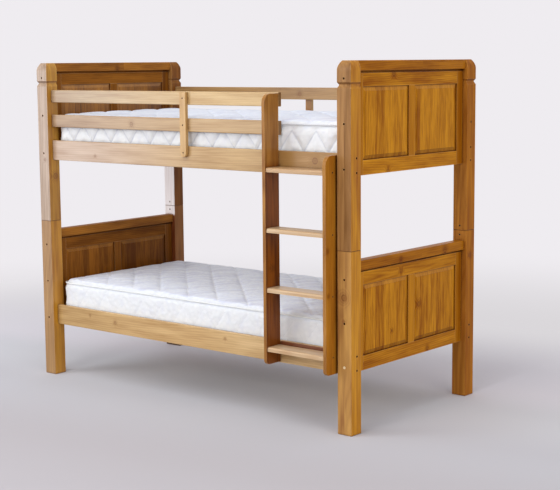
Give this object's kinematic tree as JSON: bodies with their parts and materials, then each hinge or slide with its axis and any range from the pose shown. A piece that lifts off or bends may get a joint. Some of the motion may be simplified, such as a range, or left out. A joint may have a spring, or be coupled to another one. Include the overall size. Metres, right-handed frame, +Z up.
{
  "type": "bunk bed",
  "caption": "Solid pine bunk bed with panelled end frames, guard rails, a fixed ladder and quilted mattresses; the upper bed lifts off its pins.",
  "frame": {"origin": "on the floor, under the middle of the box round bed and ladder; the bed itself is centred at y = +33.5 mm", "axes": "+X along the bed towards the ladder end, -Y the ladder side, +Z up"},
  "size_m": [2.06, 1.073, 1.654],
  "materials": {
    "waxed_pine": "honey stained pine, satin lacquer",
    "plain_pine": "planed pine, unstained",
    "beech_dowel": "fluted beech, unfinished",
    "quilted_cotton": "white quilted damask with grey tape edge",
    "zinc_steel": "bright zinc plate",
    "pale_plastic": "moulded cream plastic"
  },
  "bodies": {
    "lower_bed": {"lower_back_side_rail": "waxed_pine", "lower_barrel_nuts": "zinc_steel", "lower_cross_bearer": "plain_pine", "lower_frame_screws": "zinc_steel", "lower_front_side_rail": "waxed_pine", "lower_left_back_post": "waxed_pine", "lower_left_cap_rail": "waxed_pine", "lower_left_cross_rails": "waxed_pine", "lower_left_front_post": "waxed_pine", "lower_left_muntin": "waxed_pine", "lower_left_panels": "waxed_pine", "lower_left_stiles": "waxed_pine", "lower_lock_screws": "zinc_steel", "lower_rail_bolts": "zinc_steel", "lower_right_back_post": "waxed_pine", "lower_right_cap_rail": "waxed_pine", "lower_right_cross_rails": "waxed_pine", "lower_right_front_post": "waxed_pine", "lower_right_muntin": "waxed_pine", "lower_right_panels": "waxed_pine", "lower_right_stiles": "waxed_pine", "lower_slat_ledges": "plain_pine", "lower_slats": "plain_pine", "lower_wood_screws": "zinc_steel", "post_pins": "zinc_steel", "screw_cover_cap": "pale_plastic"},
    "upper_bed": {"back_lower_guard_rail": "waxed_pine", "back_top_guard_rail": "waxed_pine", "front_lower_guard_rail": "waxed_pine", "front_top_guard_rail": "waxed_pine", "guard_battens": "waxed_pine", "guard_dowels": "beech_dowel", "ladder_left_stile": "waxed_pine", "ladder_right_stile": "waxed_pine", "ladder_treads": "waxed_pine", "upper_back_side_rail": "waxed_pine", "upper_barrel_nuts": "zinc_steel", "upper_frame_screws": "zinc_steel", "upper_front_side_rail": "waxed_pine", "upper_left_back_post": "waxed_pine", "upper_left_cap_rail": "waxed_pine", "upper_left_cross_rails": "waxed_pine", "upper_left_front_post": "waxed_pine", "upper_left_muntin": "waxed_pine", "upper_left_panels": "waxed_pine", "upper_left_stiles": "waxed_pine", "upper_lock_screws": "zinc_steel", "upper_rail_bolts": "zinc_steel", "upper_right_back_post": "waxed_pine", "upper_right_cap_rail": "waxed_pine", "upper_right_cross_rails": "waxed_pine", "upper_right_front_post": "waxed_pine", "upper_right_muntin": "waxed_pine", "upper_right_panels": "waxed_pine", "upper_right_stiles": "waxed_pine", "upper_slat_ledges": "plain_pine", "upper_slats": "plain_pine", "upper_wood_screws": "zinc_steel"},
    "lower_mattress": {"lower_mattress": "quilted_cotton"},
    "upper_mattress": {"upper_mattress": "quilted_cotton"}
  },
  "joints": [
    {"name": "upper_bed_lift_off", "type": "slide", "parent": "lower_bed", "child": "upper_bed", "axis": [0, 0, 1], "range_m": [0, 0.06]},
    {"name": "lower_mattress_lift", "type": "slide", "parent": "lower_bed", "child": "lower_mattress", "axis": [0, 0, 1], "range_m": [0, 0.12]},
    {"name": "upper_mattress_lift", "type": "slide", "parent": "upper_bed", "child": "upper_mattress", "axis": [0, 0, 1], "range_m": [0, 0.32]}
  ]
}
